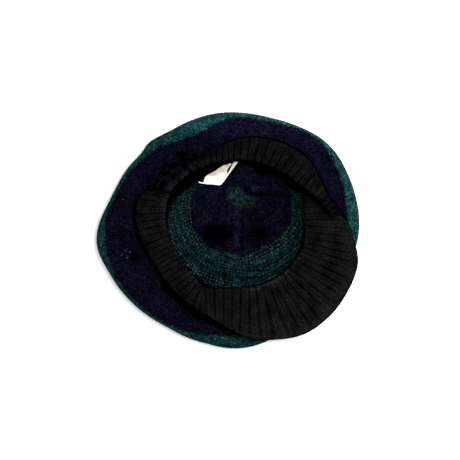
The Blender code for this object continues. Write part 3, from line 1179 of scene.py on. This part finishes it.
# The greens inside the crown, the star's and the ring's, are set much darker than the rim's green.
STAR_GREEN = (0.0042, 0.0144, 0.0124, 1.0)
INNER_GREEN = (0.0034, 0.0105, 0.0095, 1.0)
INNER_TEAL = (0.0036, 0.0125, 0.0135, 1.0)
INNER_BRIGHT = (0.0056, 0.0165, 0.0155, 1.0)
INNER_DARK = (0.0012, 0.0022, 0.0024, 1.0)
INNER_PALE = (0.0108, 0.0190, 0.0181, 1.0)
FIRST_PALE = (0.0078, 0.0165, 0.0156, 1.0)
LINT = (0.20, 0.20, 0.22, 1.0)
RIM_GREEN = (0.0070, 0.0320, 0.0305, 1.0)
RIM_DARK = (0.0030, 0.0110, 0.0130, 1.0)


class Stripe(NamedTuple):
    """A stripe of the chart: the colour between its stitches, and the colour of the stitches."""
    start: float
    between: tuple
    stitches: tuple


CHART = rows(
    Stripe,
    (0.0, NAVY, NAVY),
    (RING_START, INNER_DARK, FIRST_PALE),
    (CHECKS_END, INNER_GREEN, INNER_BRIGHT),
    (70.4, INNER_DARK, INNER_GREEN),
    (73.6, INNER_GREEN, INNER_BRIGHT),
    (78.6, INNER_DARK, INNER_GREEN),
    (81.8, INNER_GREEN, INNER_TEAL),
    (LAST_CHECKS, INNER_DARK, INNER_PALE),
    (RING_END, NAVY, NAVY),
    (125.5, RIM_DARK, RIM_GREEN),
    (128.8, RIM_GREEN, RIM_GREEN),
    (163.0, RIM_DARK, RIM_GREEN),
    (RIM_GREEN_END, NAVY, NAVY),
)

# %% Brushed wool for the crown
wool = Finish("brushed_wool")
turn, distance = wool.uv("stitch")
place = wool.object_place()
slow = wool.noises(place, 130.0)
quick = wool.noises(place, 360.0)
distance = wool.math("MULTIPLY_ADD", distance, 100.0, wool.spread(slow[0], -1.2, 1.2))
distance = wool.math("ADD", distance, wool.spread(quick[0], -0.4, 0.4))
outside = wool.math("GREATER_THAN", distance, OUTSIDE_START)
ragged = wool.product(outside, wool.spread(wool.noise(place, 520.0, 1.0), -RAGGED_EDGE, RAGGED_EDGE))
distance = wool.math("ADD", distance, ragged)

# %% Where each stitch is
growth = wool.math("MINIMUM", wool.math("FLOOR", wool.math("DIVIDE", distance, GROWTH_STEP)), LAST_GROWTH)
per_growth = 2 * math.pi * GROWTH_STEP / STITCH_WIDTH
stitches_round = wool.math("ROUND", wool.product(wool.math("ADD", growth, 0.5), per_growth))
jitter = wool.spread(quick[1], -STITCH_JITTER, STITCH_JITTER)
stitch_place = wool.math("MULTIPLY_ADD", turn, stitches_round, jitter)
course_place = wool.math("DIVIDE", distance, COURSE_HEIGHT)
course = wool.math("FLOOR", course_place)
stitch = wool.math("FLOORED_MODULO", wool.math("FLOOR", stitch_place), stitches_round)


def from_middle(value):
    """How far a place is from the middle of its stitch or course, up to a half."""
    return wool.math("ABSOLUTE", wool.math("SUBTRACT", wool.math("FRACT", value), 0.5))


across = from_middle(stitch_place)


def oval(along, middle_across, half_across, half_along):
    """The round back of a loop of wool: 1 in its middle, 0 at its edge."""
    side = wool.math("DIVIDE", wool.math("SUBTRACT", across, middle_across), half_across)
    ahead = wool.math("DIVIDE", wool.math("SUBTRACT", wool.math("FRACT", along), 0.5), half_along)
    square = wool.math("ADD", wool.product(side, side), wool.product(ahead, ahead))
    return wool.math("SQRT", wool.math("MAXIMUM", wool.one_less(square), 0.0))


# The inside shows the round backs of the purl loops, and the outside the leaning legs of the knit ones.
purl_loop = oval(course_place, 0.0, 0.44, 0.42)
knit_loop = oval(wool.math("ADD", course_place, wool.product(across, 1.3)), 0.25, 0.22, 0.46)
loop = wool.math("ADD", wool.product(purl_loop, wool.one_less(outside)), wool.product(knit_loop, outside))
# Felted wool hides its stitches, more in some places than in others.
clearness = wool.product(wool.attribute("clearness"), wool.rescale(slow[1], 0.35, 0.65, 0.45, 1.0))
loop = wool.math("MULTIPLY_ADD", wool.math("SUBTRACT", loop, FELTED_LOOP), clearness, FELTED_LOOP)

# %% Colour by the chart
chart_place = wool.math("DIVIDE", distance, CHART_LENGTH)
between_colour = wool.steps(chart_place, [(stripe.start / CHART_LENGTH, stripe.between) for stripe in CHART])
stitch_colour = wool.steps(chart_place, [(stripe.start / CHART_LENGTH, stripe.stitches) for stripe in CHART])
colour = wool.mix(wool.rescale(loop, 0.3, 0.7), between_colour, stitch_colour)

# The first rows of the ring are plain green between the check spans.
half_rows = 0.5 * (CHECKS_END - RING_START)
in_first_rows = wool.math("COMPARE", distance, RING_START + half_rows, half_rows)
plain = wool.product(in_first_rows, wool.one_less(wool.attribute("checks")))
colour = wool.mix(plain, colour, wool.mix(loop, INNER_GREEN, INNER_BRIGHT))

# The star is gathered at its middle, so its stitches show as bright rays.
from_star = wool.vector("SUBTRACT", place, STAR_CENTRE * MM)
from_star = wool.vector("MULTIPLY", from_star, (1.0, 1.0, 0.0))
towards = wool.vector("MULTIPLY", wool.vector("NORMALIZE", from_star), (STAR_RAYS, STAR_RAYS, 0.0))
outwards = wool.vector("MULTIPLY", from_star, (1 / RAY_LENGTH, 1 / RAY_LENGTH, 0.0))
ray_noise = wool.noise(wool.vector("ADD", towards, outwards), 1.0, 1.5)
rays = wool.product(wool.rescale(ray_noise, 0.4, 0.55), wool.rescale(quick[2], 0.25, 0.5))
star_colour = wool.mix(rays, NAVY, STAR_GREEN)
colour = wool.mix(wool.rescale(distance, STAR_EDGE - 1.5, STAR_EDGE + 1.5, 1.0, 0.0), colour, star_colour)
# The yarn is variegated, greener in some places and bluer in others.
cast = wool.mix(wool.rescale(slow[2], 0.35, 0.65), (1.05, 1.05, 0.9, 1.0), (0.9, 0.95, 1.25, 1.0))
colour = wool.mix(1.0, colour, cast, "MULTIPLY")

# %% Painted light and shade, and the wool's own speckle
one_stitch = wool.node("TexWhiteNoise", wool.pair(stitch, course), noise_dimensions="2D").outputs["Value"]
# The yarn's colour drifts along each course, which gives short streaks.
streak = wool.noise(wool.pair(wool.product(turn, STREAKS_ROUND), distance), 1.0)
fibre = wool.noise(place, 700.0, 3.0, 0.7)
cloud = wool.noise(place, 70.0, 3.0, 0.6)
speckle = wool.noise(place, 560.0, 1.0)
# Where the stitches show clearly, so does the dark line between two courses.
off_middle = wool.rescale(from_middle(course_place), 0.25, 0.45)
line = wool.product(off_middle, wool.rescale(clearness, 0.3, 0.6, 0.0, 0.75))
# Painted light and shade: the openness number darkens painted shadows and hollows and lightens lumps, and the
# loops are painted lighter on their backs than between them. The rest is the wool's own speckle, streaks and
# the lines between courses.
shade = wool.product(
    wool.rescale(fibre, 0.32, 0.68, 0.25, 1.75),
    wool.spread(cloud, 0.72, 1.28),
    wool.spread(speckle, 0.2, 1.85),
    wool.rescale(one_stitch, 0.0, 1.0, 0.6, 1.4),
    wool.spread(streak, 0.45, 1.55),
    wool.rescale(loop, 0.0, 1.0, 0.35, 1.45),
    wool.one_less(line),
    wool.attribute("openness"),
)
colour = wool.mix(1.0, colour, shade, "MULTIPLY")
wool.give("Base Color", wool.mix(wool.attribute("lint"), colour, LINT))

# %% Relief and fuzz
stitch_bump = wool.bump(loop, 0.9 * MM, 0.8)
wool.give("Normal", wool.bump(wool.math("ADD", fibre, speckle), 0.6 * MM, 1.0, stitch_bump))
wool.cover(crown, crown_fibres)
print("brushed wool:", len(CHART), "stripes in the chart")

# %% [markdown]
# ## Ribbed wool
# The headband and the peak are knitted in black alone. Their ribs and loops are raised in the mesh
# already, so their material could be one flat black. Instead it paints light and shade into the black:
# it reads the number that each point carries for how open it is to the light, paints the raised loops
# pale and the grooves black, and adds fibres, speckle and a little of the crown's navy at the back left.

# %% Ribbed wool for the headband and the peak
# Painted shade for the grooves and painted light for the tops of the ribs.
RIB_SHADED_GROOVE = (0.0001, 0.0001, 0.0001, 1.0)
RIB_LIT_TOP = (0.0058, 0.0058, 0.0058, 1.0)

rib = Finish("ribbed_wool")
place = rib.object_place()
openness = rib.attribute("openness")
navy = rib.attribute("navy")
rib_fibre = rib.noise(place, 1100.0, 3.0, 0.7)
rib_cloud = rib.noise(place, 60.0, 3.0, 0.6)
rib_speckle = rib.noise(place, 500.0, 1.0)
patchy = rib.rescale(rib.noise(place, 210.0, 2.0, 0.6), 0.42, 0.58)
# The openness number picks between them, so the grooves are painted dark and the tops pale.
rib_colour = rib.mix(rib.rescale(openness, 0.25, 0.95), RIB_SHADED_GROOVE, RIB_LIT_TOP)
rib_colour = rib.mix(rib.product(navy, patchy), rib_colour, NAVY)
# Painted highlights where the openness number is above 1, and painted shade on the crown's navy.
rib_shade = rib.product(
    rib.spread(rib_fibre, 0.5, 1.5),
    rib.spread(rib_cloud, 0.8, 1.2),
    rib.rescale(rib_speckle, 0.35, 0.7, 0.55, 1.55),
    rib.math("MAXIMUM", openness, 1.0),
    rib.mix(navy, (1.0, 1.0, 1.0, 1.0), rib.rescale(openness, 0.0, 0.7)),
)
rib.give("Base Color", rib.mix(1.0, rib_colour, rib_shade, "MULTIPLY"))
rib.give("Normal", rib.bump(rib.math("ADD", rib_fibre, rib_speckle), 0.4 * MM))
rib.cover(rib_band, peak)
print("ribbed wool: loops", STITCH_LENGTH, "mm long")

# %% [markdown]
# ## Woven tape
# The label's tape is white, and beige where shade is painted on it. The two could be separate
# materials, but the change between them is soft, so one material mixes them by the painted shade that
# each point of the mesh carries. A fine noise roughens it like a weave.

# %% Woven tape for the label
TAPE_WHITE = (0.90, 0.87, 0.79, 1.0)
TAPE_SHADE = (0.50, 0.40, 0.28, 1.0)

tape = Finish("woven_tape", roughness=0.8, gloss=0.2)
tape.give("Base Color", tape.mix(tape.attribute("shade"), TAPE_WHITE, TAPE_SHADE))
tape.give("Normal", tape.bump(tape.noise(tape.object_place(), 1500.0), 0.1 * MM, 0.6))
tape.cover(label)

# %% [markdown]
# ## Join the pieces to the part
# A hat could bend anywhere but has no joints, so every piece rides on its one body. Each of the four main
# pieces stands for the plain solid that it was drawn over, and the fibres ride along.

# %% Ride on the part
for piece, node, finish_slot in (
    (crown, "crown", "navy_and_green_knit"),
    (rib_band, "rib_band", "black_rib_knit"),
    (peak, "peak", "black_rib_knit"),
    (label, "label", "white_label_tape"),
):
    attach(piece, "root")
    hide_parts(node)
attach(crown_fibres, "root")

# %% [markdown]
# ## Stage, light and camera
# A pale floor and a pale world give the soft light of a small studio. They could light the hat alone, but
# its ribs would look flat, so two lamps beyond its back right draw the shadows of the ribs and of the
# headband's free edge. The camera looks nearly straight down into the opening.

# %% Floor
FLOOR_REACH = 3.0          # metres from its middle to its sides
FLOOR_DROP = 0.2           # just clear of the wool, so that the two don't flicker

bm = bmesh.new()
bmesh.ops.create_grid(bm, x_segments=1, y_segments=1, size=FLOOR_REACH)
floor = piece_from("floor", bm)
floor.location.z = -FLOOR_DROP * MM
paper = Finish("pale_floor")
paper.give("Base Color", (0.9, 0.9, 0.9, 1.0))
# The floor also glows a little, though it is no lamp, which lightens the hat's shadow on it.
paper.give("Emission Color", (1.0, 1.0, 1.0, 1.0))
paper.give("Emission Strength", 0.35)
paper.cover(floor)

# %% Light
world = bpy.data.worlds.new("studio")
world.use_nodes = True
background = world.node_tree.nodes["Background"]
background.inputs["Color"].default_value = (1.0, 1.0, 1.0, 1.0)
background.inputs["Strength"].default_value = 0.6
bpy.context.scene.world = world


def look_along(thing, way):
    thing.rotation_euler = way.to_track_quat("-Z", "Y").to_euler()


def soft_lamp(name, position, size, power):
    """A square lamp that shines on the hat."""
    data = bpy.data.lights.new(name, "AREA")
    data.size = size
    data.energy = power
    lamp = in_scene(name, data)
    lamp.location = position
    look_along(lamp, -Vector(position))


soft_lamp("window", position=(1.0, 0.55, 0.95), size=0.4, power=22.0)
soft_lamp("overhead", position=(0.5, 0.25, 1.5), size=0.5, power=17.0)

# %% Camera
PHOTO_SIZE = 460
PHOTO_SCALE = 1.078        # millimetres to a pixel on the floor
CAMERA_ELEVATION = 87.0
AIM = Vector((2.2, 0.0, 0.0)) * MM

camera_data = bpy.data.cameras.new("camera")
camera_data.sensor_width = 36.0
camera_data.lens = camera_data.sensor_width * CAMERA_DISTANCE / (PHOTO_SIZE * PHOTO_SCALE * MM)
camera = in_scene("camera", camera_data)
rise = math.radians(CAMERA_ELEVATION)
back = Vector((0.0, -math.cos(rise), math.sin(rise)))
camera.location = AIM + back * CAMERA_DISTANCE
look_along(camera, -back)
bpy.context.scene.camera = camera
bpy.context.scene.view_settings.view_transform = "Standard"
print("camera: lens", round(camera_data.lens, 1), "mm")
